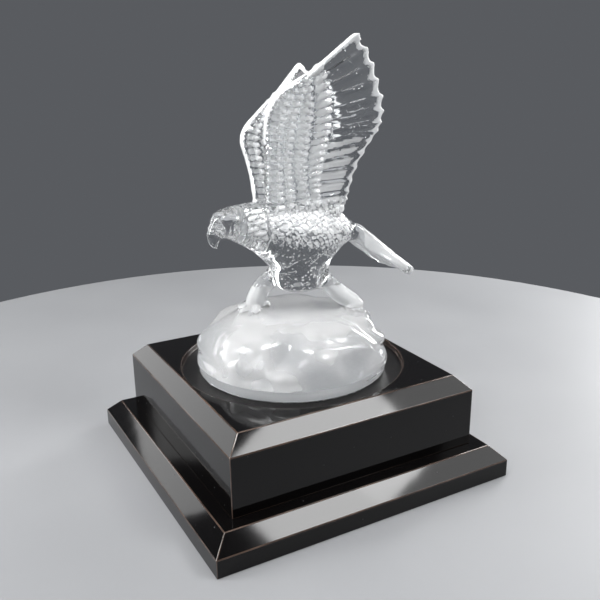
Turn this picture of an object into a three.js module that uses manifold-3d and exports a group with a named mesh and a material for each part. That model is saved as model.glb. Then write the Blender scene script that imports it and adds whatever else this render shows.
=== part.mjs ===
// Crystal eagle award: an eagle landing on a frosted rock, cast in one piece of clear
// crystal, standing in the round recess of a black lacquered two-step plinth.
// Millimetres, +Z up. The origin is the centre of the plinth's underside.
// +X runs along the front face to the right, -Y is the front, and the eagle faces -X.

import * as THREE from 'three';
import { ParametricGeometry } from 'three/addons/geometries/ParametricGeometry.js';
import { mergeVertices } from 'three/addons/utils/BufferGeometryUtils.js';
import Module from 'manifold-3d';

const wasm = await Module();
wasm.setup();

// Driving dimensions of the plinth
const plateSide = 11.5;
const plateChamfer = 9;
const plateStep = 17.5;
const blockSide = 37.5;
const blockChamfer = 9;
const recessDepth = 3.5;
const recessRim = 2;
const recessMargin = 11.5;
const recessSegments = 72;
const seatGap = 0.3;

// Driving dimensions of the rock
const rockRadius = 61.5;
const rockHeight = 39.5;
const footBandHeight = 8;
const footBandSwell = 1;

// Driving dimensions of the eagle
const backHeight = 71.5;
const nearWingRise = 100;
const farWingRise = 79;
const wingSink = 2.8;
const wingThickness = 8;
const wingEdge = 5;
const tailLength = 64;
const tailHalfWidth = 18;
const tailThickness = 9;
const tailEdge = 5;
const ribHeight = 1.6;
const toeRadius = 2.9;
const ankleDepth = 6;
const forwardAnkle = { x: -20, y: 9 };
const backwardAnkle = { x: 43, y: -16 };

// Sizes that follow from the driving ones
const recessRadius = rockRadius + recessMargin;
const blockWidth = 2 * (recessRadius + recessRim + blockChamfer);
const plateWidth = blockWidth + 2 * plateStep;
const plateTop = plateSide + plateChamfer;
const blockTop = plateTop + blockSide + blockChamfer;
const recessFloor = blockTop - recessDepth;
const rockFoot = recessFloor + seatGap;
const rockTop = rockFoot + rockHeight;

// A closed geometry becomes a solid: its points are merged, flat slivers are dropped and
// its faces are turned outwards
function solidFrom(geometry) {
  const bare = geometry.index ? geometry.clone() : mergeVertices(geometry);
  bare.deleteAttribute('normal');
  bare.deleteAttribute('uv');
  const merged = mergeVertices(bare, 1e-3);
  const place = merged.attributes.position;
  const corner = (i) => new THREE.Vector3().fromBufferAttribute(place, i);
  const triangles = [];
  let volume = 0;
  for (let i = 0; i < merged.index.count; i += 3) {
    const [a, b, c] = [0, 1, 2].map((n) => merged.index.getX(i + n));
    if (a === b || b === c || c === a) continue;
    triangles.push([a, b, c]);
    volume += corner(a).dot(corner(b).cross(corner(c)));
  }
  const outward = volume > 0 ? triangles : triangles.map(([a, b, c]) => [a, c, b]);
  return new wasm.Manifold(new wasm.Mesh({
    numProp: 3,
    vertProperties: new Float32Array(place.array),
    triVerts: new Uint32Array(outward.flat()),
  }));
}

// A solid goes back to a three.js geometry
function geometryFrom(solid) {
  const mesh = solid.getMesh();
  const geometry = new THREE.BufferGeometry();
  geometry.setAttribute('position', new THREE.BufferAttribute(mesh.vertProperties, 3));
  geometry.setIndex(new THREE.BufferAttribute(mesh.triVerts, 1));
  geometry.computeVertexNormals();
  return geometry;
}

// A surface through rows of points: each row is a closed ring, and the first and last
// rings close on themselves
function skin(rows) {
  const around = rows[0].length;
  const lengthwise = rows.length - 1;
  const place = (u, v, target) => {
    const row = rows[Math.round(v * lengthwise)];
    target.copy(row[Math.round(u * around) % around]);
  };
  return solidFrom(new ParametricGeometry(place, around, lengthwise));
}

// A value read from a short table of [where, value] pairs, with straight lines between
function along(table, where) {
  const last = table.length - 1;
  if (where <= table[0][0]) return table[0][1];
  if (where >= table[last][0]) return table[last][1];
  const next = table.findIndex(([at]) => at > where);
  const [from, low] = table[next - 1];
  const [to, high] = table[next];
  return THREE.MathUtils.lerp(low, high, (where - from) / (to - from));
}

// Plinth: a square slab with a 45 degree chamfer round its top is a four-sided lathe
function chamferedSlab(width, side, chamfer) {
  const toCorner = Math.SQRT2 / 2;
  const profile = [
    new THREE.Vector2(0, 0),
    new THREE.Vector2(width * toCorner, 0),
    new THREE.Vector2(width * toCorner, side),
    new THREE.Vector2((width - 2 * chamfer) * toCorner, side + chamfer),
    new THREE.Vector2(0, side + chamfer),
  ];
  const slab = new THREE.LatheGeometry(profile, 4, Math.PI / 4);
  slab.rotateX(Math.PI / 2);
  return slab;
}

function plinthPlate() {
  return solidFrom(chamferedSlab(plateWidth, plateSide, plateChamfer));
}

function plinthBlock() {
  const slab = chamferedSlab(blockWidth, blockSide, blockChamfer);
  slab.translate(0, 0, plateTop);
  const recess = new THREE.CylinderGeometry(
    recessRadius, recessRadius, 2 * recessDepth, recessSegments);
  recess.rotateX(Math.PI / 2);
  recess.translate(0, 0, blockTop);
  return solidFrom(slab).subtract(solidFrom(recess));
}

// Rock: a low dome on a clear foot band, with soft knobs that run down its sides
const rockSides = 56;
const domeBase = rockFoot + footBandHeight;
const domeRise = rockTop - domeBase;
const domeFullness = 2.85;
const knobDepth = 1.6;

function knob(angle, share) {
  const flank = Math.sin(Math.PI * share);
  const flutes = Math.sin(7 * angle + 1.1) + 0.7 * Math.sin(11 * angle + 4 * share);
  const folds = 0.6 * Math.sin(4 * angle - 9 * share);
  return knobDepth * flank * (flutes + folds - 0.5);
}

function rockPoint(angle, share) {
  const swollen = rockRadius + footBandSwell;
  const round = Math.pow(1 - Math.pow(share, domeFullness), 1 / domeFullness);
  const radius = swollen * round + knob(angle, share) * round;
  return new THREE.Vector3(
    radius * Math.cos(angle), radius * Math.sin(angle), domeBase + domeRise * share);
}

function rockRing(radius, height) {
  const ring = [];
  for (let i = 0; i < rockSides; i += 1) {
    const angle = (2 * Math.PI * i) / rockSides;
    ring.push(new THREE.Vector3(radius * Math.cos(angle), radius * Math.sin(angle), height));
  }
  return ring;
}

function rock() {
  const swollen = rockRadius + footBandSwell;
  const rows = [
    rockRing(0, rockFoot),
    rockRing(rockRadius, rockFoot),
    rockRing(swollen, rockFoot + footBandHeight / 2),
  ];
  const steps = [0, 0.2, 0.4, 0.58, 0.74, 0.86, 0.94, 0.985, 1];
  for (const share of steps) {
    const ring = [];
    for (let i = 0; i < rockSides; i += 1) {
      ring.push(rockPoint((2 * Math.PI * i) / rockSides, share));
    }
    rows.push(ring);
  }
  return skin(rows);
}

// The rock's height under a place, for what stands on it
function rockSurface(x, y) {
  const reach = Math.min(1, Math.hypot(x, y) / (rockRadius + footBandSwell));
  return domeBase + domeRise * Math.pow(1 - Math.pow(reach, domeFullness), 1 / domeFullness);
}

// Eagle: its form is drawn for a back that is 71.5 above the rock's top, and grows with
// the real height of the back. Its heights are measured up from the rock's top.
const figure = backHeight / 71.5;

function at(x, y, z) {
  return new THREE.Vector3(x * figure, y * figure, rockTop + z * figure);
}

// A body form between its top line and its under line, both in the middle plane.
// Each station holds the top point, the bottom point and the half width.
function bodyForm(stations, around, squareness = 2) {
  const rows = stations.map(([topX, topZ, lowX, lowZ, halfWidth]) => {
    const ring = [];
    for (let i = 0; i < around; i += 1) {
      const angle = (2 * Math.PI * i) / around;
      const lift = Math.sign(Math.cos(angle)) * Math.abs(Math.cos(angle)) ** (2 / squareness);
      const spread = Math.sign(Math.sin(angle)) * Math.abs(Math.sin(angle)) ** (2 / squareness);
      const mid = (1 + lift) / 2;
      ring.push(at(
        THREE.MathUtils.lerp(lowX, topX, mid),
        spread * halfWidth,
        THREE.MathUtils.lerp(lowZ, topZ, mid)));
    }
    return ring;
  });
  return skin(rows);
}

function headAndTorso() {
  return bodyForm([
    [-53.6, 60.2, -53.6, 60.2, 0],
    [-53.4, 64.9, -52, 55.5, 4.4],
    [-50.6, 68.5, -47.5, 52.9, 7.2],
    [-45, 70.5, -42.5, 51.3, 8.8],
    [-37.5, 71.5, -36, 47.5, 10.2],
    [-29, 72.3, -28.5, 42.7, 12.4],
    [-20, 72.1, -21, 36.3, 15.6],
    [-9, 71.5, -15, 29.7, 18.6],
    [4, 69.9, -4, 21.7, 20.0],
    [17, 66.7, 13, 19.7, 19.4],
    [27, 62.9, 27, 30.7, 16.8],
    [36, 58.3, 36.5, 39.2, 13.6],
    [46, 52.1, 43, 39.2, 10.5],
    [52, 43.7, 52, 43.7, 0],
  ], 24);
}

function belly() {
  return bodyForm([
    [8, 48.7, 8, 48.7, 0],
    [36, 44.7, -15, 46.7, 16],
    [29, 35.7, -14.6, 34.7, 18.0],
    [24, 26.2, -12, 25.7, 18.2],
    [21.4, 18.7, -10.6, 18.7, 17.4],
    [19, 14.3, -8.6, 14.3, 15.0],
    [14, 12.1, -4, 12.1, 9.6],
    [6, 11.5, 6, 11.5, 0],
  ], 20, 2.3);
}

// Radii of the drawn figure at its real size
function drawn(radii) {
  return radii.map((radius) => radius * figure);
}

// Limbs and toes are round forms along a bent middle line, fat or thin by place
function limb(points, radii, around = 12, steps = 8) {
  const line = new THREE.CatmullRomCurve3(points);
  const shape = radii.map((radius, i) => [i / (radii.length - 1), radius]);
  const side = new THREE.Vector3(0, 1, 0);
  const rows = [];
  for (let j = 0; j <= steps; j += 1) {
    const share = j / steps;
    const middle = line.getPoint(share);
    const ahead = line.getTangent(share);
    const across = new THREE.Vector3().crossVectors(ahead, side).normalize();
    const beside = new THREE.Vector3().crossVectors(across, ahead);
    const radius = along(shape, share);
    const ring = [];
    for (let i = 0; i < around; i += 1) {
      const angle = (2 * Math.PI * i) / around;
      ring.push(middle.clone()
        .addScaledVector(across, radius * Math.cos(angle))
        .addScaledVector(beside, radius * Math.sin(angle)));
    }
    rows.push(ring);
  }
  return skin(rows);
}

function beak() {
  return limb([
    at(-44, 0, 61.2),
    at(-48.4, 0, 59.9),
    at(-51.6, 0, 55.7),
    at(-52.2, 0, 50.5),
    at(-49.6, 0, 44.7),
  ], drawn([0, 6, 5, 3.6, 0]), 12, 10);
}

// A ridge over each eye runs from the beak's root to the back of the skull
function brows() {
  return [1, -1].map((side) => limb([
    at(-52.2, side * 3.2, 63.1),
    at(-48.6, side * 6.4, 64.9),
    at(-43.6, side * 8.2, 65.1),
    at(-38.6, side * 8.6, 63.5),
  ], drawn([0, 1.7, 1.9, 0]), 8, 6));
}

// A point of the figure laid on the rock, or sunk into it by a depth
function onRock(x, y, depth) {
  const [across, back] = [x * figure, y * figure];
  return new THREE.Vector3(across, back, rockSurface(across, back) - depth);
}

// A foot's toes spread from its ankle over the rock, each with its claw in the rock
function foot(ankle, toes) {
  return toes.map(([heading, length]) => {
    const points = [[0, 0.3], [0.35, -0.35], [0.7, -0.35], [1, 0.6]].map(([share, sunk]) => onRock(
      ankle.x + share * length * Math.cos(heading),
      ankle.y + share * length * Math.sin(heading),
      sunk * toeRadius));
    return limb(points, [0, toeRadius * 1.1, toeRadius, toeRadius * 0.8, 0], 8, 6);
  });
}

function legs() {
  const forward = limb([
    at(4, 7, 30.7), at(-7, 8.5, 21.2), at(-16, 9.5, 14.7), at(-20.5, 10, 6.2),
    onRock(forwardAnkle.x, forwardAnkle.y, ankleDepth),
  ], drawn([0, 7.4, 5.6, 4.9, 5, 5.6, 0]), 14, 10);
  const backward = limb([
    at(9, -8, 30.7), at(18, -10, 18.2), at(29.5, -12.5, 8.2), at(38, -15, 0.2),
    onRock(backwardAnkle.x, backwardAnkle.y, ankleDepth),
  ], drawn([0, 7.6, 5.6, 4.9, 4.9, 5.6, 0]), 14, 10);
  const turn = Math.PI;
  return [
    forward,
    backward,
    ...foot(forwardAnkle, [[0.82 * turn, 17], [1.06 * turn, 19], [1.32 * turn, 17], [0.03 * turn, 11]]),
    ...foot(backwardAnkle, [[0.86 * turn, 15], [1.1 * turn, 18], [1.4 * turn, 17], [-0.06 * turn, 13]]),
  ];
}

// A slab of feathers lying side by side. Each feather is a raised rib with an end of its
// own, and the slab is carved alike on both faces. place(s, t) is its middle surface,
// across the feathers along s and from root to tip along t, and bounds are the feathers'
// edges along s. The slab closes on a flat edge all round.
function featherSlab({ bounds, steps, place, facing, inset, thickness, rib, reach }) {
  const rows = [];
  for (let k = 0; k + 1 < bounds.length; k += 1) {
    for (const q of steps) rows.push({ s: THREE.MathUtils.lerp(bounds[k], bounds[k + 1], q), q });
  }
  rows.push({ s: 1, q: 0 });
  const ring = ({ s, q }, fullness) => {
    const face = (side) => reach.map((t) => {
      const back = 1 - inset(s, q) * THREE.MathUtils.smoothstep(t, 0.6, 1);
      const raised = rib * (q - 0.5) * THREE.MathUtils.smoothstep(t, 0.3, 0.5);
      const half = (thickness(s, t) / 2 + raised) * fullness;
      return place(s, t * back).addScaledVector(facing, side * half);
    });
    return [...face(1), ...face(-1).reverse()];
  };
  return skin([
    ring(rows[0], 0),
    ...rows.map((row) => ring(row, 1)),
    ring(rows[rows.length - 1], 0),
  ]);
}

// Wings: each outline is drawn as the wing's side view, with its heights in shares of the
// wing's rise, and the wing flares outwards as it rises
const wingHalfGap = 9;
const wingRoot = rockTop + backHeight - wingSink;
const wingSteps = [0, 0.35, 0.7, 0.88];
const wingReach = [0, 0.04, 0.18, 0.33, 0.41, 0.62, 0.82, 1];
const featherStart = 0.37;

function spline(points) {
  const line = new THREE.SplineCurve(points.map(([x, y]) => new THREE.Vector2(x, y)));
  return (share) => line.getPoint(share);
}

// Small feathers next to the body, then the long ones of the hand
function featherBounds(small, long, longShare) {
  const low = Array.from({ length: small }, (_, k) => (k / small) * (1 - longShare));
  const high = Array.from({ length: long + 1 }, (_, k) => 1 - longShare * (1 - k / long));
  return [...low, ...high];
}

function wing({ side, rise, lean, flare, leading, roots, trailing, bounds, notch }) {
  const outline = (s, t) => {
    const root = roots(s);
    if (t < featherStart) return leading(s).lerp(root, t / featherStart);
    return root.lerp(trailing(s), (t - featherStart) / (1 - featherStart));
  };
  const place = (s, t) => {
    const { x, y } = outline(s, t);
    const up = Math.max(0, y);
    const out = wingHalfGap + (lean + flare * up) * up * rise;
    return new THREE.Vector3(x * figure, side * out, wingRoot + y * rise);
  };
  const swell = [
    [0, 0.4], [0.04, 1], [0.33, 0.85], [0.41, 0.66], [1, wingEdge / wingThickness],
  ];
  return featherSlab({
    bounds,
    steps: wingSteps,
    place,
    facing: new THREE.Vector3(0, 1, 0),
    inset: (s, q) => along([[0, 1], [0.35, 0.6], [0.7, 0.1], [0.88, 0], [1, 1]], q) * notch,
    thickness: (s, t) => wingThickness * along(swell, t) * along([[0, 1], [0.8, 1], [1, 0.7]], s),
    rib: ribHeight,
    reach: wingReach,
  });
}

function nearWing() {
  return wing({
    side: -1,
    rise: nearWingRise,
    lean: 0.04,
    flare: 0.2,
    leading: spline([
      [-21, -0.1], [-22, 0.18], [-23.5, 0.38], [-24.6, 0.53], [-21.5, 0.64], [-12, 0.725],
      [-1.5, 0.785],
    ]),
    roots: spline([
      [10, -0.12], [4, 0.12], [1.5, 0.28], [2.6, 0.44], [3, 0.56], [1.2, 0.67], [-1.2, 0.775],
    ]),
    trailing: spline([
      [28, -0.12], [38, 0.04], [42, 0.17], [49, 0.31], [56.4, 0.42], [59, 0.51], [57, 0.605],
      [51.4, 0.722], [44.6, 0.83], [36.6, 0.935], [25.6, 1.005],
    ]),
    bounds: featherBounds(8, 6, 0.52),
    notch: 0.045,
  });
}

function farWing() {
  return wing({
    side: 1,
    rise: farWingRise,
    lean: 0.064,
    flare: 0.2528,
    leading: spline([
      [-20, -0.1], [-21.4, 0.18], [-23.2, 0.34], [-25, 0.48], [-21, 0.585], [-11, 0.685],
      [-1.4, 0.77],
    ]),
    roots: spline([
      [8, -0.12], [3, 0.12], [1.5, 0.28], [2.6, 0.42], [3.4, 0.54], [2.6, 0.66], [-0.8, 0.765],
    ]),
    trailing: spline([
      [24, -0.12], [25, 0.06], [30, 0.18], [34.5, 0.3], [41, 0.44], [47.5, 0.57], [50.6, 0.69],
      [50.4, 0.83], [47.6, 0.945], [37, 0.99], [27, 1.05],
    ]),
    bounds: featherBounds(7, 6, 0.5),
    notch: 0.04,
  });
}

// Tail: a fan of seven feathers with a round end, arched over its width, sloping down behind
const tailFeathers = 7;
const tailSlope = THREE.MathUtils.degToRad(37);
const tailRoot = at(42.5, 0, 48.2);
const tailArch = 3.6;

function tail() {
  const down = new THREE.Vector3(Math.cos(tailSlope), 0, -Math.sin(tailSlope));
  const up = new THREE.Vector3(Math.sin(tailSlope), 0, Math.cos(tailSlope));
  const sideways = new THREE.Vector3(0, 1, 0);
  const place = (s, t) => {
    const across = 2 * s - 1;
    const half = along([[0, 0.5], [0.35, 0.62], [0.85, 1], [1, 0.96]], t) * tailHalfWidth;
    const length = tailLength * (1 - 0.24 * across * across);
    const arch = tailArch * along([[0, 0.4], [0.4, 1], [1, 0.7]], t);
    return tailRoot.clone()
      .addScaledVector(down, t * length)
      .addScaledVector(sideways, across * half)
      .addScaledVector(up, (0.5 - across * across) * arch);
  };
  return featherSlab({
    bounds: Array.from({ length: tailFeathers + 1 }, (_, k) => k / tailFeathers),
    steps: [0, 0.25, 0.5, 0.75],
    place,
    facing: up,
    inset: (s, q) => 0.05 * (2 * q - 1) ** 2,
    thickness: (s, t) => along([[0, tailThickness], [0.5, 0.75 * tailThickness], [1, tailEdge]], t),
    rib: ribHeight,
    reach: [0, 0.25, 0.5, 0.7, 0.88, 1],
  });
}

// One casting: the rock, the bird and its wings are a single piece of crystal
function crystalEagle() {
  const forms = [
    headAndTorso(),
    belly(),
    beak(),
    ...brows(),
    ...legs(),
    tail(),
    nearWing(),
    farWing(),
  ];
  return forms.reduce((whole, form) => whole.add(form), rock());
}

// Materials
const crystal = new THREE.MeshStandardMaterial({ color: 0xe9eef0, roughness: 0.08, metalness: 0 });
const blackLacquer = new THREE.MeshStandardMaterial({ color: 0x060606, roughness: 0.08, metalness: 0 });

function piece(name, solid, material) {
  const mesh = new THREE.Mesh(geometryFrom(solid), material);
  mesh.name = name;
  return mesh;
}

const award = new THREE.Group();
award.add(piece('plinth_plate', plinthPlate(), blackLacquer));
award.add(piece('plinth_block', plinthBlock(), blackLacquer));
award.add(piece('crystal_eagle', crystalEagle(), crystal));

export default award;
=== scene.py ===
import math

import bmesh
import bpy
import numpy as np
from mathutils import Matrix, Vector, kdtree


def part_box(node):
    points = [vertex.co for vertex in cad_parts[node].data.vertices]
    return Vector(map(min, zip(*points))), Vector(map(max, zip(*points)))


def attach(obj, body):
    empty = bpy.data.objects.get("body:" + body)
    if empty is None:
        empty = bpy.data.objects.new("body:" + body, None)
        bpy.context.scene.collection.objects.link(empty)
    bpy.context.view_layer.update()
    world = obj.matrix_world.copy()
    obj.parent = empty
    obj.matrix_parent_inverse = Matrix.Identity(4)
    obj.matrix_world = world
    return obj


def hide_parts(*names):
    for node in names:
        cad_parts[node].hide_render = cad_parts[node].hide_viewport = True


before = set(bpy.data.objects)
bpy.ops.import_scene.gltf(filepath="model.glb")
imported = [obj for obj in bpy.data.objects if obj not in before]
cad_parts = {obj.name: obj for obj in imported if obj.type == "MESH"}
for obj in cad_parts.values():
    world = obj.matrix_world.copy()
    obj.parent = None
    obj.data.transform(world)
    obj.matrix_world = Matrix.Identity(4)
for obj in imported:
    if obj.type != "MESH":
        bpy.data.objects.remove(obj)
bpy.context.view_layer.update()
scene = bpy.context.scene

# Plinth plate: the wide lower step of the plinth. It is wood under coats of black lacquer,
# polished to a mirror, with a 45 degree chamfer round its top. Every arris is rubbed until
# the brown undercoat just shows.
mm = 0.001
touching = 1e-6
chamfer_width = 9 * mm
arris_width = 0.5 * mm
arris_segments = 3
arris_slot = 1
lacquer_ior = 1.35
lacquer_black = (0.0025, 0.0022, 0.0022)
dust_grey = (0.035, 0.035, 0.037)
undercoat_dark = (0.02, 0.015, 0.013)
undercoat_worn = (0.10, 0.062, 0.045)


def node(tree, kind, settings=None, values=None):
    """A shader node with its settings and the values of its sockets."""
    made = tree.nodes.new(kind)
    for name, value in (settings or {}).items():
        setattr(made, name, value)
    for name, value in (values or {}).items():
        made.inputs[name].default_value = value
    return made


def new_group(name, inputs, outputs):
    """A shader node group with named sockets, and its two end nodes."""
    group = bpy.data.node_groups.new(name, "ShaderNodeTree")
    for socket, kind, value in inputs:
        made = group.interface.new_socket(socket, in_out="INPUT", socket_type=kind)
        if value is not None:
            made.default_value = value
    for socket, kind in outputs:
        group.interface.new_socket(socket, in_out="OUTPUT", socket_type=kind)
    return group, group.nodes.new("NodeGroupInput"), group.nodes.new("NodeGroupOutput")


def new_material(name):
    """A material with its tree, its shader and the object's own coordinates."""
    material = bpy.data.materials.new(name)
    material.use_nodes = True
    tree = material.node_tree
    place = node(tree, "ShaderNodeTexCoord")
    return material, tree, tree.nodes["Principled BSDF"], place.outputs["Object"]


def use_group(tree, group, place, values):
    """A placed node group that reads the object's own coordinates."""
    used = tree.nodes.new("ShaderNodeGroup")
    used.node_tree = group
    tree.links.new(place, used.inputs["Vector"])
    for name, value in values.items():
        used.inputs[name].default_value = value
    return used


def blend_colours(tree, share, low, high):
    """A colour between two, by a share from 0 to 1."""
    mix = node(tree, "ShaderNodeMix", {"data_type": "RGBA"})
    mix.inputs["A"].default_value = (*low, 1)
    mix.inputs["B"].default_value = (*high, 1)
    tree.links.new(share, mix.inputs["Factor"])
    return mix.outputs["Result"]


def spread(tree, share, low, high):
    """A share from 0 to 1 stretched to run from low to high."""
    stretched = node(tree, "ShaderNodeMapRange", None, {"To Min": low, "To Max": high})
    tree.links.new(share, stretched.inputs["Value"])
    return stretched.outputs["Result"]


def dress(tree, shader, colour, roughness, normal):
    """Gives a shader its colour, its roughness and its fine surface."""
    tree.links.new(colour, shader.inputs["Base Color"])
    tree.links.new(roughness, shader.inputs["Roughness"])
    tree.links.new(normal, shader.inputs["Normal"])


# Specks of dust and polish, and the long soft ripple of a coat that was brushed and rubbed
specks, specks_in, specks_out = new_group(
    "dust specks",
    [("Vector", "NodeSocketVector", None), ("Scale", "NodeSocketFloat", 300),
     ("Size", "NodeSocketFloat", 0.12), ("Share", "NodeSocketFloat", 0.3)],
    [("Mask", "NodeSocketFloat")])
speck_cells = node(specks, "ShaderNodeTexVoronoi", {"feature": "F1"})
speck_near = node(specks, "ShaderNodeMath", {"operation": "LESS_THAN"})
speck_some = node(specks, "ShaderNodeMath", {"operation": "LESS_THAN"})
speck_pick = node(specks, "ShaderNodeSeparateColor")
speck_mask = node(specks, "ShaderNodeMath", {"operation": "MULTIPLY"})
specks.links.new(specks_in.outputs["Vector"], speck_cells.inputs["Vector"])
specks.links.new(specks_in.outputs["Scale"], speck_cells.inputs["Scale"])
specks.links.new(speck_cells.outputs["Distance"], speck_near.inputs[0])
specks.links.new(specks_in.outputs["Size"], speck_near.inputs[1])
specks.links.new(speck_cells.outputs["Color"], speck_pick.inputs["Color"])
specks.links.new(speck_pick.outputs["Red"], speck_some.inputs[0])
specks.links.new(specks_in.outputs["Share"], speck_some.inputs[1])
specks.links.new(speck_near.outputs["Value"], speck_mask.inputs[0])
specks.links.new(speck_some.outputs["Value"], speck_mask.inputs[1])
specks.links.new(speck_mask.outputs["Value"], specks_out.inputs["Mask"])

ripple, ripple_in, ripple_out = new_group(
    "soft ripple",
    [("Vector", "NodeSocketVector", None), ("Scale", "NodeSocketFloat", 40),
     ("Depth", "NodeSocketFloat", 0.0001), ("Strength", "NodeSocketFloat", 0.3)],
    [("Normal", "NodeSocketVector"), ("Mask", "NodeSocketFloat")])
ripple_noise = node(ripple, "ShaderNodeTexNoise", None, {"Detail": 2, "Roughness": 0.45})
ripple_bump = node(ripple, "ShaderNodeBump")
ripple.links.new(ripple_in.outputs["Vector"], ripple_noise.inputs["Vector"])
ripple.links.new(ripple_in.outputs["Scale"], ripple_noise.inputs["Scale"])
ripple.links.new(ripple_noise.outputs["Fac"], ripple_bump.inputs["Height"])
ripple.links.new(ripple_in.outputs["Depth"], ripple_bump.inputs["Distance"])
ripple.links.new(ripple_in.outputs["Strength"], ripple_bump.inputs["Strength"])
ripple.links.new(ripple_bump.outputs["Normal"], ripple_out.inputs["Normal"])
ripple.links.new(ripple_noise.outputs["Fac"], ripple_out.inputs["Mask"])

lacquer, lacquer_tree, lacquer_shader, lacquer_place = new_material("black_lacquer_gloss")
lacquer_shader.inputs["IOR"].default_value = lacquer_ior
lacquer_dust = use_group(
    lacquer_tree, specks, lacquer_place, {"Scale": 190, "Size": 0.07, "Share": 0.16})
lacquer_coat = use_group(
    lacquer_tree, ripple, lacquer_place, {"Scale": 35, "Depth": 0.0004, "Strength": 0.12})
lacquer_rough = node(lacquer_tree, "ShaderNodeMath", {"operation": "ADD"})
lacquer_tree.links.new(
    spread(lacquer_tree, lacquer_dust.outputs["Mask"], 0, 0.4), lacquer_rough.inputs[0])
lacquer_tree.links.new(
    spread(lacquer_tree, lacquer_coat.outputs["Mask"], 0.03, 0.09), lacquer_rough.inputs[1])
dress(lacquer_tree, lacquer_shader,
      blend_colours(lacquer_tree, lacquer_dust.outputs["Mask"], lacquer_black, dust_grey),
      lacquer_rough.outputs["Value"], lacquer_coat.outputs["Normal"])

rubbed, rubbed_tree, rubbed_shader, rubbed_place = new_material("lacquer_rubbed_arris")
rubbed_shader.inputs["Coat Weight"].default_value = 0.5
rubbed_shader.inputs["Coat Roughness"].default_value = 0.08
rubbed_wear = use_group(
    rubbed_tree, ripple, rubbed_place, {"Scale": 70, "Depth": 0.0002, "Strength": 0.3})
rubbed_tone = spread(rubbed_tree, rubbed_wear.outputs["Mask"], -0.3, 1.2)
dress(rubbed_tree, rubbed_shader,
      blend_colours(rubbed_tree, rubbed_tone, undercoat_dark, undercoat_worn),
      spread(rubbed_tree, rubbed_wear.outputs["Mask"], 0.12, 0.26), rubbed_wear.outputs["Normal"])


def lacquered_slab(low, high):
    """A square slab with a chamfer round its top and eased arrises, which are rubbed."""
    slab = bmesh.new()
    bmesh.ops.create_cube(slab, size=1)
    bmesh.ops.scale(slab, vec=high - low, verts=slab.verts)
    bmesh.ops.translate(slab, vec=(low + high) / 2, verts=slab.verts)
    top = [e for e in slab.edges if all(v.co.z > high.z - mm for v in e.verts)]
    bmesh.ops.bevel(
        slab, geom=top, offset=chamfer_width, offset_type="OFFSET", affect="EDGES",
        segments=1, profile=0.5, material=-1)
    eased = bmesh.ops.bevel(
        slab, geom=slab.edges[:], offset=arris_width, offset_type="OFFSET", affect="EDGES",
        segments=arris_segments, profile=0.5, material=-1)
    for face in eased["faces"]:
        face.material_index = arris_slot
        face.smooth = True
    bmesh.ops.recalc_face_normals(slab, faces=slab.faces)
    return slab


def new_piece(name, shape, materials):
    """An object in the part's own frame, made from a bmesh."""
    mesh = bpy.data.meshes.new(name)
    shape.to_mesh(mesh)
    shape.free()
    for material in materials:
        mesh.materials.append(material)
    piece = bpy.data.objects.new(name, mesh)
    scene.collection.objects.link(piece)
    return piece


def finished(piece):
    """Puts the result of the piece's modifiers into its mesh and drops them."""
    evaluated = piece.evaluated_get(bpy.context.evaluated_depsgraph_get())
    result = bpy.data.meshes.new_from_object(evaluated)
    piece.modifiers.clear()
    piece.data = result
    return piece


plate_low, plate_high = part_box("plinth_plate")
plate = new_piece("plinth_lower_step", lacquered_slab(plate_low, plate_high), [lacquer, rubbed])
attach(plate, "root")
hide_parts("plinth_plate")

# Plinth block: the upper step, lacquered like the plate and set flat on it. A shallow
# round recess is turned in its top for the casting. The recess's wall shows the brown
# undercoat, and its floor is left matt with fine specks.
recess_radius = 73 * mm
recess_floor = 63.5 * mm
recess_lip = 0.8 * mm
recess_corner = 0.6 * mm
recess_sides = 144
lip_turns = 4
cutter_rise = 2 * mm
facing_up = 0.9
floor_band = 0.5 * mm
lip_band = 0.2 * mm
matt_slot = 2
brown_slot = 3
matt_black = (0.006, 0.0055, 0.0055)
matt_speck = (0.05, 0.047, 0.044)
wall_dark = (0.014, 0.010, 0.009)
wall_pale = (0.06, 0.042, 0.035)

recess_matt, matt_tree, matt_shader, matt_place = new_material("recess_floor_matt")
matt_specks = use_group(matt_tree, specks, matt_place, {"Scale": 900, "Size": 0.3, "Share": 0.3})
matt_grain = use_group(matt_tree, ripple, matt_place, {"Scale": 900, "Depth": 0.0002, "Strength": 0.5})
dress(matt_tree, matt_shader,
      blend_colours(matt_tree, matt_specks.outputs["Mask"], matt_black, matt_speck),
      spread(matt_tree, matt_grain.outputs["Mask"], 0.28, 0.45), matt_grain.outputs["Normal"])


def rippled_finish(name, wave, tones, roughness):
    """A material whose colour, roughness and fine surface all follow one soft ripple."""
    material, tree, shader, place = new_material(name)
    coat = use_group(tree, ripple, place, wave)
    mask = coat.outputs["Mask"]
    dress(tree, shader, blend_colours(tree, mask, *tones), spread(tree, mask, *roughness),
          coat.outputs["Normal"])
    return material, shader


recess_brown, _ = rippled_finish(
    "recess_wall_undercoat", {"Scale": 160, "Depth": 0.0002, "Strength": 0.4},
    (wall_dark, wall_pale), (0.28, 0.45))

block_low, block_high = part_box("plinth_block")
block = new_piece(
    "plinth_upper_step", lacquered_slab(block_low, block_high),
    [lacquer, rubbed, recess_matt, recess_brown])

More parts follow.
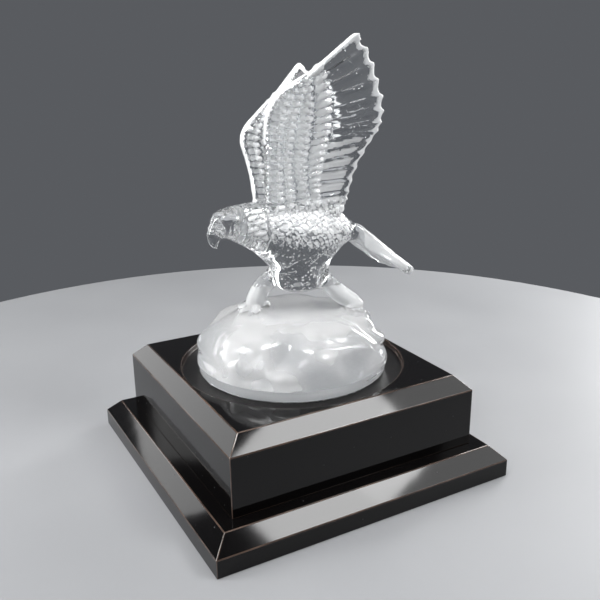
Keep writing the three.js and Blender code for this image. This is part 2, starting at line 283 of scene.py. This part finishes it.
cutter = bmesh.new()
corners = [(0, recess_floor), (recess_radius - recess_corner, recess_floor),
           (recess_radius, recess_floor + recess_corner)]
for count in range(lip_turns + 1):
    turn = count / lip_turns * math.pi / 2
    corners.append((recess_radius + recess_lip * (1 - math.cos(turn)),
                    block_high.z - recess_lip * (1 - math.sin(turn))))
corners += [(recess_radius + recess_lip, block_high.z + cutter_rise),
            (0, block_high.z + cutter_rise)]
profile = [cutter.verts.new((radius, 0, height)) for radius, height in corners]
for first, second in zip(profile, profile[1:]):
    cutter.edges.new((first, second))
bmesh.ops.spin(
    cutter, geom=cutter.verts[:] + cutter.edges[:], cent=(0, 0, 0), axis=(0, 0, 1),
    angle=2 * math.pi, steps=recess_sides, use_merge=True)
bmesh.ops.remove_doubles(cutter, verts=cutter.verts, dist=touching)
bmesh.ops.recalc_face_normals(cutter, faces=cutter.faces)
tool = new_piece("recess_cutter", cutter, [])
turned_out = block.modifiers.new("recess", "BOOLEAN")
turned_out.operation = "DIFFERENCE"
turned_out.object = tool
finished(block)
bpy.data.objects.remove(tool)
for face in block.data.polygons:
    centre = face.center
    reach = math.hypot(centre.x, centre.y)
    if reach > recess_radius + recess_lip or centre.z < recess_floor - mm:
        continue
    if face.normal.z > facing_up and centre.z < recess_floor + floor_band:
        face.material_index = matt_slot
    elif centre.z < block_high.z - lip_band:
        face.material_index = brown_slot
        face.use_smooth = True
    elif centre.z < block_high.z - touching:
        face.material_index = arris_slot
        face.use_smooth = True
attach(block, "root")
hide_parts("plinth_block")

# Crystal eagle: the rock, the bird and its wings are one pressed casting of clear crystal.
# Scales, feathers and folds were cut in the mould, the rock's dome is softly frosted, and
# its underside is ground white. It rests on the recess's floor.
skin_size = 0.95 * mm
crystal_ior = 1.52
clear_share = 1
frosted_share = 0.72
ground_share = 0.5
carved_share = 0.55
# the share of light that the painted highlight finish lets through
highlight_share = 0.28
glass_tint = (0.94, 0.965, 0.975)
glass_light = (0.99, 0.995, 1)
# the grey of the painted shade low on the frosted dome
painted_shade_grey = (0.6, 0.615, 0.63)
white = (1, 1, 1)


def crystal(shader, see_through):
    """Makes a shader crystal that lets this share of the light through."""
    shader.inputs["IOR"].default_value = crystal_ior
    shader.inputs["Transmission Weight"].default_value = see_through
    shader.inputs["Metallic"].default_value = 0


def share_along(tree, place, axis, settings):
    """A share that changes along one axis of the piece, from its own coordinates."""
    sides = node(tree, "ShaderNodeSeparateXYZ")
    rise = node(tree, "ShaderNodeMapRange", None, settings)
    tree.links.new(place, sides.inputs["Vector"])
    tree.links.new(sides.outputs[axis], rise.inputs["Value"])
    return rise.outputs["Result"]


# clear glass, with fine seeds in its surface behind the smooth head
clear, clear_tree, clear_shader, clear_place = new_material("crystal_clear")
crystal(clear_shader, clear_share)
clear_wave = use_group(clear_tree, ripple, clear_place, {"Scale": 60, "Depth": 0.0004, "Strength": 0.05})
clear_seeds = use_group(clear_tree, specks, clear_place, {"Scale": 360, "Size": 0.27, "Share": 0.5})
seed_height = node(clear_tree, "ShaderNodeMath", {"operation": "MULTIPLY"})
seed_bump = node(clear_tree, "ShaderNodeBump", None, {"Strength": 1, "Distance": 0.001})
clear_tree.links.new(clear_seeds.outputs["Mask"], seed_height.inputs[0])
clear_tree.links.new(
    share_along(clear_tree, clear_place, "X", {"From Min": -0.03, "From Max": -0.015}),
    seed_height.inputs[1])
clear_tree.links.new(seed_height.outputs["Value"], seed_bump.inputs["Height"])
clear_tree.links.new(clear_wave.outputs["Normal"], seed_bump.inputs["Normal"])
dress(clear_tree, clear_shader,
      blend_colours(clear_tree, clear_wave.outputs["Mask"], glass_tint, glass_light),
      spread(clear_tree, clear_wave.outputs["Mask"], 0.03, 0.12), seed_bump.outputs["Normal"])

# frosted glass, cloudy all over, with painted light: it whitens towards the rock's top and is greyer
# lower down as painted shade
frosted, frosted_tree, frosted_shader, frosted_place = new_material("crystal_frosted")
crystal(frosted_shader, frosted_share)
frosted_wave = use_group(
    frosted_tree, ripple, frosted_place, {"Scale": 35, "Depth": 0.001, "Strength": 0.25})
frosted_cloud = node(
    frosted_tree, "ShaderNodeMapRange", None, {"From Min": 0.35, "From Max": 0.65})
cloud_and_painted_light = node(frosted_tree, "ShaderNodeMath", {"operation": "ADD", "use_clamp": True})
frosted_tree.links.new(frosted_wave.outputs["Mask"], frosted_cloud.inputs["Value"])
# painted light and shade: the dome's colour runs from grey low down to white at its top
frosted_tree.links.new(
    share_along(frosted_tree, frosted_place, "Z",
                 {"From Min": 0.07, "From Max": 0.103, "To Min": -0.35, "To Max": 0.35}),
    cloud_and_painted_light.inputs[0])
frosted_tree.links.new(frosted_cloud.outputs["Result"], cloud_and_painted_light.inputs[1])
dress(frosted_tree, frosted_shader,
      blend_colours(frosted_tree, cloud_and_painted_light.outputs["Value"], painted_shade_grey, white),
      spread(frosted_tree, frosted_wave.outputs["Mask"], 0.1, 0.26), frosted_wave.outputs["Normal"])

# the ground underside, the carved feathers, and a whiter finish that paints highlights on edges and tips
ground, ground_shader = rippled_finish(
    "crystal_ground_underside", {"Scale": 700, "Depth": 0.0002, "Strength": 0.5},
    ((0.55, 0.56, 0.57), (0.7, 0.71, 0.72)), (0.5, 0.8))
crystal(ground_shader, ground_share)
cut, cut_shader = rippled_finish(
    "crystal_carved", {"Scale": 420, "Depth": 0.0003, "Strength": 0.15},
    ((0.93, 0.95, 0.96), white), (0, 0.1))
crystal(cut_shader, carved_share)
# the highlight finish is a whiter, less clear crystal that paints highlights where it is put
highlight_glass, highlight_shader = rippled_finish(
    "crystal_painted_highlight", {"Scale": 200, "Depth": 0.0002, "Strength": 0.2},
    ((0.95, 0.97, 0.98), white), (0.1, 0.25))
crystal(highlight_shader, highlight_share)

shell = bmesh.new()
shell.from_mesh(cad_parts["crystal_eagle"].data)
bmesh.ops.remove_doubles(shell, verts=shell.verts, dist=touching)
casting = new_piece("crystal_eagle_casting", shell, [])
fine = casting.modifiers.new("fine skin", "REMESH")
fine.mode = "VOXEL"
fine.voxel_size = skin_size
fine.use_smooth_shade = True
finished(casting)

finishes = (clear, frosted, ground, cut, highlight_glass)
clear_finish, frosted_finish, ground_finish, carved_finish, highlight_finish = range(len(finishes))
skin = casting.data
skin.materials.clear()
for material in finishes:
    skin.materials.append(material)

# the skin's points are carved in millimetres, and go back into the mesh in metres
points = np.zeros(len(skin.vertices) * 3)
skin.vertices.foreach_get("co", points)
points = points.reshape(-1, 3) / mm
edges = np.zeros(len(skin.edges) * 2, int)
skin.edges.foreach_get("vertices", edges)
edges = edges.reshape(-1, 2)
degree = np.bincount(edges.ravel(), minlength=len(points))[:, None]
everywhere = np.ones(len(points))
ease = (0.5, -0.53)
melt = (0.5,)


def softened(points, share, rounds, pulls):
    """Points drawn to their neighbours by a share: ease keeps the size, and melt rounds more."""
    for _ in range(rounds):
        for pull in pulls:
            near = np.stack([
                np.bincount(edges[:, 0], points[edges[:, 1], axis], len(points))
                + np.bincount(edges[:, 1], points[edges[:, 0], axis], len(points))
                for axis in range(3)], 1) / degree
            points = points + pull * share[:, None] * (near - points)
    return points


def step(values, low, high):
    """0 below low, 1 above high and a smooth rise between."""
    share = np.clip((values - low) / (high - low), 0, 1)
    return share * share * (3 - 2 * share)


def outward(points):
    """The normals of the skin at its points."""
    skin.vertices.foreach_set("co", (points * mm).ravel())
    skin.update()
    normals = np.zeros(len(points) * 3)
    skin.vertices.foreach_get("normal", normals)
    return normals.reshape(-1, 3)


def spline(corners, shares):
    """Points along a smooth line through its corners."""
    corners = np.array(corners, float)
    last = len(corners) - 1
    where = np.clip(shares, 0, 1) * last
    start = np.minimum(where.astype(int), last - 1)
    rest = (where - start)[:, None]
    before = corners[np.maximum(start - 1, 0)]
    here = corners[start]
    there = corners[start + 1]
    after = corners[np.minimum(start + 2, last)]
    leave = (there - before) / 2
    arrive = (after - here) / 2
    return (((2 * here - 2 * there + leave + arrive) * rest
             + (-3 * here + 3 * there - 2 * leave - arrive)) * rest + leave) * rest + here


plume_reach = 1.35
plume_half = 0.56
plume_crown = 0.3
past_rows = 99


def small_feathers(rows, across, last_row):
    """Rows of overlapping round feathers: each rises to its tip, which points along rows."""
    height = np.zeros(len(rows))
    covered = rows < 0
    whole = np.floor(rows)
    for back in (1, 0):
        row = whole - back
        along = (rows - row) / plume_reach
        beside = across + 0.5 * (row % 2)
        beside = (beside - np.round(beside)) / plume_half
        inside = (along ** 2 + beside ** 2 < 1) & ~covered & (row < last_row) & (row >= 0)
        height[inside] = (along + plume_crown * (1 - beside ** 2))[inside]
        covered |= inside
    return height


# each wing is a sheet between three lines, from its front edge by its roots to its feather
# ends. A line's points are places along the bird and shares of the wing's rise.
wing_root = 172.0
wing_start = 173.0
wing_inner = 4.8
near_rise = 100
far_rise = 79
root_share = 0.37
pitch_line = 0.2
leading_near = [(-21, -.1), (-22, .18), (-23.5, .38), (-24.6, .53), (-21.5, .64), (-12, .725),
                (-1.5, .785)]
roots_near = [(10, -.12), (4, .12), (1.5, .28), (2.6, .44), (3, .56), (1.2, .67), (-1.2, .775)]
trailing_near = [(28, -.12), (38, .04), (42, .17), (49, .31), (56.4, .42), (59, .51),
                 (57, .605), (51.4, .722), (44.6, .83), (36.6, .935), (25.6, 1.005)]
leading_far = [(-20, -.1), (-21.4, .18), (-23.2, .34), (-25, .48), (-21, .585), (-11, .685),
               (-1.4, .77)]
roots_far = [(8, -.12), (3, .12), (1.5, .28), (2.6, .42), (3.4, .54), (2.6, .66), (-.8, .765)]
trailing_far = [(24, -.12), (25, .06), (30, .18), (34.5, .3), (41, .44), (47.5, .57),
                (50.6, .69), (50.4, .83), (47.6, .945), (37, .99), (27, 1.05)]
across_steps = 420
along_steps = 260
notch_shape = [(0, 1), (.35, .6), (.7, .1), (.88, 0), (1, 1)]


def wing_map(points, side, rise, leading, roots, trailing, small, long, long_share, notch,
             highlight_from):
    """Where each point of a wing lies: across its feathers, along them, and in its own one."""
    shares = np.linspace(0, 1, across_steps)
    front, middle, back = [spline(line, shares) * (1, rise) for line in (leading, roots, trailing)]
    runs = np.linspace(0, 1, along_steps)
    first = np.clip(runs / root_share, 0, 1)[None, :, None]
    second = np.clip((runs - root_share) / (1 - root_share), 0, 1)[None, :, None]
    sheet = front[:, None] * (1 - first) + middle[:, None] * first
    sheet = sheet * (1 - second) + back[:, None] * second
    tree = kdtree.KDTree(across_steps * along_steps)
    for index, (x, up) in enumerate(sheet.reshape(-1, 2).tolist()):
        tree.insert((x, up, 0), index)
    tree.balance()
    on_wing = np.where((points[:, 2] > wing_start) & (points[:, 1] * side > wing_inner))[0]
    found = np.array([tree.find((x, z - wing_root, 0))[1] for x, _, z in points[on_wing].tolist()])
    across = shares[found // along_steps]
    line = sheet[:, int(pitch_line * along_steps)]
    length = np.concatenate([[0], np.cumsum(np.hypot(*np.diff(line, axis=0).T))])
    bounds = np.concatenate([
        np.arange(small) / small * (1 - long_share),
        1 - long_share * (1 - np.arange(long + 1) / long)])
    feather = np.clip(np.searchsorted(bounds, across, side="right") - 1, 0, len(bounds) - 2)
    own = (across - bounds[feather]) / (bounds[feather + 1] - bounds[feather])
    return {
        "points": on_wing, "across": across, "along": runs[found % along_steps],
        "length": length[found // along_steps], "feather": own,
        "end": 1 - notch * np.interp(own, *np.transpose(notch_shape)), "highlight_from": highlight_from,
    }


near_wing = wing_map(
    points, side=-1, rise=near_rise, leading=leading_near, roots=roots_near,
    trailing=trailing_near, small=8, long=6, long_share=0.52, notch=0.045, highlight_from=0.55)
far_wing = wing_map(
    points, side=1, rise=far_rise, leading=leading_far, roots=roots_far,
    trailing=trailing_far, small=7, long=6, long_share=0.5, notch=0.04, highlight_from=0)
wings = [near_wing, far_wing]

rock_foot = 63.8
dome_base = 71.8
rock_top = 103.3
dome_fullness = 2.85
rock_reach = 62.5
fold_reach = 7
rock_edge = (0.86, 1.14)


def rock_share(points, above):
    """1 for points in the rock, 0 for those well above it, and a smooth fall between."""
    reach = np.hypot(points[:, 0], points[:, 1]) / (rock_reach + fold_reach)
    climb = np.maximum(points[:, 2] - dome_base, 0) / (rock_top - dome_base + above)
    return 1 - step(reach ** dome_fullness + climb ** dome_fullness, *rock_edge)


# the body, head, legs and rock are fire polished, while the feathers stay crisp
tail_start = 50.0
tail_low = 110
polish_fade = (wing_start - 3, wing_start + 5)
head_fade = (-38, -30)
dome_fade = (dome_base + 0.5, dome_base + 3)
belly_low = (110, 116)
belly_high = (140, 150)
quill_ends = (0.84, 0.9)
last_quill = 0.95
wing_flat = (0.6, 0.9)
rib_height = 1.6
rib_eased = 0.4
rib_start = (0.3, 0.5)
fire_polish = 1 - step(points[:, 2], *polish_fade)
fire_polish *= 1 - step(points[:, 0], tail_start, tail_start + 6) * (points[:, 2] > tail_low)
head = 1 - step(points[:, 0], *head_fade)
dome = step(points[:, 2], *dome_fade) * rock_share(points, 1)
belly = (1 - step(points[:, 2], *belly_high)) * step(points[:, 2], *belly_low)
belly = belly * (1 - rock_share(points, 5))
quill_tips = np.zeros(len(points))
for wing in wings:
    quill_tips[wing["points"]] = step(wing["along"], *quill_ends) * (wing["across"] < last_quill)
points = softened(points, everywhere, 2, ease)
normals = outward(points)
for wing in wings:
    at = wing["points"]
    flat = step(np.abs(normals[at, 1]), *wing_flat)
    step_down = rib_height * rib_eased * (wing["feather"] - 0.5) * step(wing["along"], *rib_start)
    points[at] -= normals[at] * (flat * step_down)[:, None]
for share, rounds, pulls in [
        (everywhere, 6, ease), (quill_tips, 45, melt), (fire_polish, 45, ease),
        (head * fire_polish, 60, ease), (fire_polish, 9, melt), (dome, 110, melt),
        (belly * fire_polish, 20, melt)]:
    points = softened(points, share, rounds, pulls)
normals = outward(points)
wing_face = step(np.abs(normals[:, 1]), *wing_flat) * (points[:, 2] > wing_start + 4)
points = softened(points, wing_face, 40, ease)
normals = outward(points)

# both wings carry rows of small feathers, then long quills with a raised bead round them; feather tips,
# the bead and the wing's front and root edges get painted highlights
scale_rows = [.035, .11, .21, .345, .5, .66]
last_scales = 4
feather_pitch = 4.0
feather_relief = 1.8
carved_above = 0.7
highlight_above = 0.88
dimmer_rows = (2.5, 3)
dimmer_by = 0.2
groove_place = 0.032
groove_width = 0.01
groove_depth = 0.2
shaft_height = 0.6
shaft_width = 0.2
shaft_start = (0.52, 0.8)
shaft_end = (0.9, 0.96)
bead_width = 0.055
bead_height = 0.5
top_edge = 1.8
relief_flat = (0.55, 0.85)
relief_start = (wing_start + 1, wing_start + 6)
inner_share = 0.6
low_quill_top = 0.4
low_quill_middle = 0.45
low_quill_half = 0.27
low_quill_end = 0.85
front_edge = 0.013
front_fade = (-0.2, 0.1)
root_edge = 0.02
carved = np.zeros(len(points))
painted_highlight = np.zeros(len(points))
relief = np.zeros(len(points))
for wing in wings:
    at = wing["points"]
    along = wing["along"]
    across = wing["across"]
    own = wing["feather"]
    rows = np.interp(along, scale_rows, range(len(scale_rows)), left=-1, right=past_rows)
    plume = small_feathers(rows, wing["length"] / feather_pitch, last_scales)
    raised = feather_relief * plume
    raised -= groove_depth * np.exp(-((along - groove_place) / groove_width) ** 2)
    shaft = np.exp(-((own - 0.5) / shaft_width) ** 2)
    raised += shaft_height * shaft * step(along, *shaft_start) * (1 - step(along, *shaft_end))
    edge = np.minimum(wing["end"] - along, top_edge * (1 - across))
    raised += bead_height * (1 - step(edge, 0.5 * bead_width, bead_width))
    flat = step(np.abs(normals[at, 1]), *relief_flat)
    outer_or_inner = np.where(normals[at, 1] < 0, 1, inner_share)
    relief[at] = raised * flat * outer_or_inner * step(points[at, 2], *relief_start)
    low_quills = (rows > last_scales) & (across < low_quill_top) & (along < low_quill_end)
    low_quills &= np.abs(own - low_quill_middle) < low_quill_half
    carved[at] = (plume > carved_above) | low_quills
    # painted highlights: feather tips, the quill bead and the front and root edges take the whiter
    # finish
    highlighted_tips = plume > highlight_above + dimmer_by * step(rows, *dimmer_rows)
    fade_start, fade_end = [wing["highlight_from"] + shift for shift in front_fade]
    highlighted_front = front_edge * step(across, fade_start, fade_end)
    painted_highlight[at] = highlighted_tips | (edge < bead_width) | (along < highlighted_front) | (across < root_edge)

# the back and sides wear wavy rows of scales, and the neck has short strokes
back_line = [(-53, 168), (-45, 173.8), (-29, 175.6), (-9, 174.8), (4, 173.2), (17, 170),
             (27, 166.2), (36, 161.6), (46, 155.4), (52, 147)]
girth = [(-53, 5), (-45, 9), (-29, 12.4), (-9, 18.6), (4, 20), (17, 19.4), (27, 16.8), (46, 10.5)]
body_low = 125
scale_row = 3.3
scale_pitch = 4.6
scale_relief = 1.5
scale_sway = 0.8
scale_front = (-24, -20)
scale_back = (33, 42)
scale_under = (1.5, 2.1)
stroke_row = 3.4
stroke_pitch = 9
stroke_relief = 1.1
stroke_front = (-35, -32)
stroke_back = (-25, -21)
stroke_over = (0.5, 0.7)
stroke_under = (2.0, 2.2)
scale_carved = 0.6
scale_highlight = 0.82
x, y, z = points.T
back_height = np.interp(x, *np.transpose(back_line))
radius = np.interp(x, *np.transpose(girth))
turn = np.arctan2(np.abs(y), z - back_height + radius)
on_body = (1 - step(z, wing_start, wing_start + 2)) * (z > body_low)
sway = 0.35 * np.sin(0.45 * x + 0.3 * z) + 0.25 * np.sin(0.9 * z - 0.4 * x)
scales = small_feathers(
    turn * radius / scale_row + sway, x / scale_pitch + scale_sway * sway, past_rows)
scale_zone = step(x, *scale_front) * (1 - step(x, *scale_back)) * (1 - step(turn, *scale_under))
relief += scale_relief * scales * scale_zone * on_body
strokes = small_feathers(turn * radius / stroke_row, x / stroke_pitch, past_rows)
stroke_zone = step(x, *stroke_front) * (1 - step(x, *stroke_back)) * step(turn, *stroke_over)
stroke_zone *= 1 - step(turn, *stroke_under)
relief += stroke_relief * strokes * stroke_zone * on_body
ragged = 0.5 + 0.25 * np.sin(1.37 * x) + 0.2 * np.sin(2.9 * x + 1.3 * z)
plume = np.where(scale_zone > stroke_zone, scales, strokes)
dressed = np.maximum(scale_zone, stroke_zone) * on_body > ragged
carved[dressed & (plume > scale_carved)] = 1
# painted highlights on the tips of the body's scales and strokes
painted_highlight[dressed & (plume > scale_highlight)] = 1

# the fine bubbles that fleck the clear belly are pits in its surface, each with a painted glint
pit_share = 0.06
pit_depth = 0.3
pit_seed = 11
pit_front = (-24, -12)
pit_back = (30, 40)
pit_high = (140, 156)
leg_top = 119
pit_zone = step(x, *pit_front) * (1 - step(x, *pit_back)) * (z > leg_top) * (1 - step(z, *pit_high))
pits = np.random.default_rng(pit_seed).random(len(points)) < pit_share * pit_zone
relief[pits] -= pit_depth
# painted glint on each pit
painted_highlight[pits] = 1


def bead(points, start, end, width, height):
    """A raised or sunk line on both sides of the bird, from one point to another."""
    start = np.array(start, float)
    run = np.array(end, float) - start
    here = points * (1, -1, 1)
    here[:, 1] = np.abs(points[:, 1])
    share = np.clip((here - start) @ run / (run @ run), 0, 1)
    away = np.linalg.norm(here - start - share[:, None] * run, axis=1)
    return height * np.exp(-(away / width) ** 2)


# face: an eye under the brow, the mouth's line, and two short tufts behind the cheek, each
# with its two ends, its width and its height, which is below zero where it is sunk
eye = (-47, 8.7, 166.6)
socket = (eye, (-46.4, 8.7, 166.6), 3.2, -0.8)
eyeball = (eye, (-46.6, 8.7, 166.6), 1.7, 1.4)
brow = ((-51.5, 5.6, 168.8), (-42, 9, 171.2), 1.4, 0.8)
mouth = ((-45, 5.6, 158), (-52.6, 2.4, 158.4), 0.8, -0.7)
front_tuft = ((-40.4, 9.1, 166.7), (-40.6, 9, 160.6), 0.9, 0.6)
back_tuft = ((-36.4, 10.1, 164.6), (-36.2, 9.2, 157.7), 0.9, 0.6)
for line in (socket, eyeball, brow, mouth, front_tuft, back_tuft):
    relief += bead(points, *line)

# the legs wear full trousers of feathers down to their blunt feet
trouser_relief = 1.5
ankle = (100, 104)
thigh = (118, 132)
body_middle = 8
body_edge = (15, 22)
leg_zone = step(z, *ankle) * (1 - step(z, *thigh)) * (1 - rock_share(points, 2.5))
leg_zone *= step(np.hypot(x - body_middle, y), *body_edge)
relief += trouser_relief * leg_zone

# the tail thins towards its tip, and its feathers part there
tail_root = np.array((42.5, 0, 151.5))
tail_slope = math.radians(37)
tail_length = 64
tail_half = 18
tail_widths = [(0, .5), (.35, .62), (.85, 1), (1, .96)]
tail_feathers = 7
tail_bottom = 105
tail_top = 152
tail_flat = (0.5, 0.8)
slot_width = 0.9
slot_depth = 0.7
slot_start = (0.4, 0.55)
slot_end = (0.86, 0.95)
slot_clear = 0.35
quill_width = 0.12
quill_height = 0.3
quill_start = (0.15, 0.25)
root_swell = 1.2
swell_fade = (0.1, 0.6)
tip_taper = 1.4
taper_run = (0.5, 1)
tail_highlight_from = 0.93
tail_down = np.array((math.cos(tail_slope), 0, -math.sin(tail_slope)))
tail_up = np.array((math.sin(tail_slope), 0, math.cos(tail_slope)))
tail_run = (points - tail_root) @ tail_down / tail_length
tail_spread = tail_half * np.interp(tail_run, *np.transpose(tail_widths))
tail_across = (y / tail_spread + 1) / 2 * tail_feathers
between = np.abs(tail_across - np.round(tail_across)) * 2 * tail_spread / tail_feathers
on_tail = (x > tail_start) & (z > tail_bottom) & (z < tail_top)
tail_face = step(np.abs(normals @ tail_up), *tail_flat)
slots = np.exp(-(between / slot_width) ** 2)
slots = slots * step(tail_run, *slot_start) * (1 - step(tail_run, *slot_end))
quill = np.exp(-((tail_across % 1 - 0.5) / quill_width) ** 2) * step(tail_run, *quill_start)
taper = root_swell * (1 - step(tail_run, *swell_fade)) - tip_taper * step(tail_run, *taper_run)
relief += (taper + quill_height * quill - slot_depth * slots) * tail_face * on_tail
carved[on_tail & (tail_run < tail_highlight_from) & (slots < slot_clear)] = 1
# painted highlight along the tail's tip
painted_highlight[on_tail & (tail_run >= tail_highlight_from)] = 1

# the foot band under the dome has a thin bead over a shallow groove
foot_bead = 70.8
foot_bead_width = 0.8
foot_bead_height = 0.8
foot_groove = 67.6
foot_groove_width = 0.9
foot_groove_depth = 0.6
relief += (foot_bead_height * np.exp(-((z - foot_bead) / foot_bead_width) ** 2)
           - foot_groove_depth * np.exp(-((z - foot_groove) / foot_groove_width) ** 2))

# the rock's folds run down its sides like melted ice: round bulges with sharp clefts
bulge_depth = 2.3
lump_depth = 1.3
dent_depth = 1.0
rock_sunk = 3.1
fold_low = (0.02, 0.16)
fold_high = (0.72, 0.98)
around = np.arctan2(y, x)
climb = (z - dome_base) / (rock_top - dome_base)
on_rock = step(climb, *fold_low) * (1 - step(climb, *fold_high)) * rock_share(points, 3)
bend = 0.8 * np.sin(2 * around + 3 * climb) + 0.45 * np.sin(5 * around - 4 * climb + 1)
bulge = np.abs(np.sin(4.5 * around + bend + 0.9 * climb)) ** 0.75
lump = np.abs(np.sin(2.5 * around + 5 * climb + 1.3 * bend + 0.6)) ** 0.8
dents = np.sin(6 * around + 5 * climb + bend) * np.sin(8 * climb - 3 * around)
relief += (bulge_depth * bulge + lump_depth * lump + dent_depth * dents - rock_sunk) * on_rock

# the relief is cut, eased a little and kept inside the casting's own box
foot_rise = 0.35
tip_melt = (0.86, 0.93)
points += normals * relief[:, None]
tail_tip = step(tail_run, *tip_melt) * on_tail
for share, rounds, pulls in [
        (everywhere, 1, ease), (dome, 4, melt), (head * fire_polish, 3, melt),
        (tail_tip, 20, melt)]:
    points = softened(points, share, rounds, pulls)
low, high = [np.array(corner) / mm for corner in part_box("crystal_eagle")]
points[points[:, 2] < rock_foot + foot_rise, 2] = low[2]
points = np.clip(points, low, high)
outward(points)

# each face takes one of the five finishes of the crystal
middles = np.zeros(len(skin.polygons) * 3)
skin.polygons.foreach_get("center", middles)
middles = middles.reshape(-1, 3) / mm
height = middles[:, 2]
finish = np.full(len(skin.polygons), clear_finish)
finish[(height > dome_base) & (rock_share(middles, 2.5) > 0.5)] = frosted_finish
finish[height < rock_foot + foot_rise] = ground_finish
first_corner = np.zeros(len(skin.polygons), int)
skin.polygons.foreach_get("loop_start", first_corner)
corner_points = np.zeros(len(skin.loops), int)
skin.loops.foreach_get("vertex_index", corner_points)
face_point = corner_points[first_corner]
finish[carved[face_point] > 0.5] = carved_finish
# faces marked for painted highlight take the whiter finish
finish[painted_highlight[face_point] > 0.5] = highlight_finish
finish[(finish == clear_finish) & (height < leg_top) & (height > dome_base)] = carved_finish
skin.polygons.foreach_set("material_index", finish)
skin.update()

# the ground underside is one flat face
underside = (rock_foot + 0.01) * mm
foot = bmesh.new()
foot.from_mesh(skin)
flat_foot = [f for f in foot.faces if all(v.co.z < underside for v in f.verts)]
bmesh.ops.dissolve_faces(foot, faces=flat_foot, use_verts=True)
for face in foot.faces:
    if all(v.co.z < underside for v in face.verts):
        face.smooth = False
foot.to_mesh(skin)
foot.free()
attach(casting, "root")
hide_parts("crystal_eagle")

# Table: the plain pale surface that the award stands on, a flat satin sheet with a faint
# mottle. It is no part of the award, and soft studio lights hang round it: broad ones give
# the lacquer its sheen, and small ones give the crystal its sparkle.
table_radius = 0.46
table_sides = 96
backdrop_grey = (0.10, 0.105, 0.115, 1)
table = bmesh.new()
bmesh.ops.create_circle(table, cap_ends=True, segments=table_sides, radius=table_radius)
pale, _ = rippled_finish(
    "pale_table", {"Scale": 9, "Depth": 0.0005, "Strength": 0.1},
    ((0.26, 0.265, 0.275), (0.315, 0.32, 0.33)), (0.45, 0.65))
floor = new_piece("studio_table", table, [pale])

world = bpy.data.worlds.new("studio")
scene.world = world
world.use_nodes = True
world.node_tree.nodes["Background"].inputs["Color"].default_value = backdrop_grey
world.node_tree.nodes["Background"].inputs["Strength"].default_value = 1


def studio_light(name, place, aim, width, height, power, beam=180):
    """A soft rectangular light that faces a point, with its beam's angle in degrees."""
    lamp = bpy.data.lights.new(name, "AREA")
    lamp.spread = math.radians(beam)
    lamp.shape = "RECTANGLE"
    lamp.size = width
    lamp.size_y = height
    lamp.energy = power
    light = bpy.data.objects.new(name, lamp)
    light.location = place
    light.rotation_euler = (Vector(aim) - Vector(place)).to_track_quat("-Z", "Y").to_euler()
    scene.collection.objects.link(light)


middle = (0, 0, 0.15)
rock_middle = (0, 0.01, 0.1)
wing_feet = (0, 0, 0.17)
block_front = (0.01, -0.09, 0.045)
block_corner = (0.05, -0.09, 0.06)
block_left = (-0.08, 0, 0.065)
studio_light("ceiling", (0, 0.25, 1.4), middle, width=1.2, height=1.0, power=4.5)
studio_light("overhead", (-0.3, -0.1, 0.95), middle, width=0.2, height=0.2, power=4)
studio_light("top beam", (-0.12, -0.2, 0.95), rock_middle, width=0.2, height=0.2, power=0.09, beam=24)
studio_light("left side", (-0.75, 0.25, 0.4), middle, width=0.16, height=0.7, power=5.8)
studio_light("right side", (0.8, 0.25, 0.4), middle, width=0.16, height=0.7, power=5.8)
studio_light("front right", (0.43, -0.62, 0.8), block_front, width=0.32, height=0.28, power=5.5)
studio_light("front left", (-0.85, -0.6, 0.6), wing_feet, width=0.35, height=0.5, power=3.2)
studio_light("far front right", (0.9, -0.72, 0.85), block_corner, width=0.5, height=0.5, power=2.6)
studio_light("back left", (-0.5, 0.8, 0.38), block_left, width=0.35, height=0.3, power=1.2)

# Camera: it stands where the photograph was taken from, a little above the award and to
# its left. Its place and turn were worked out from the corners of the plinth's two tiers.
photo_width = 600
focal_pixels = 764.16
optical_axis = 301.5
sensor = 36
right = Vector((0.87123561, -0.49077118, -0.0096))
below = Vector((-0.16419854, -0.27294931, -0.94791219))
ahead = Vector((0.46258767, 0.82743116, -0.31838707))
place = Vector((-0.22435, -0.41492, 0.26667))
lens = bpy.data.cameras.new("camera")
lens.sensor_width = sensor
lens.lens = focal_pixels / photo_width * sensor
lens.shift_x = (photo_width / 2 - optical_axis) / photo_width
lens.clip_start = 0.01
camera = bpy.data.objects.new("camera", lens)
turned = Matrix((right, -below, -ahead)).transposed().to_4x4()
camera.matrix_world = Matrix.Translation(place) @ turned
scene.collection.objects.link(camera)
scene.camera = camera
scene.view_settings.view_transform = "Standard"
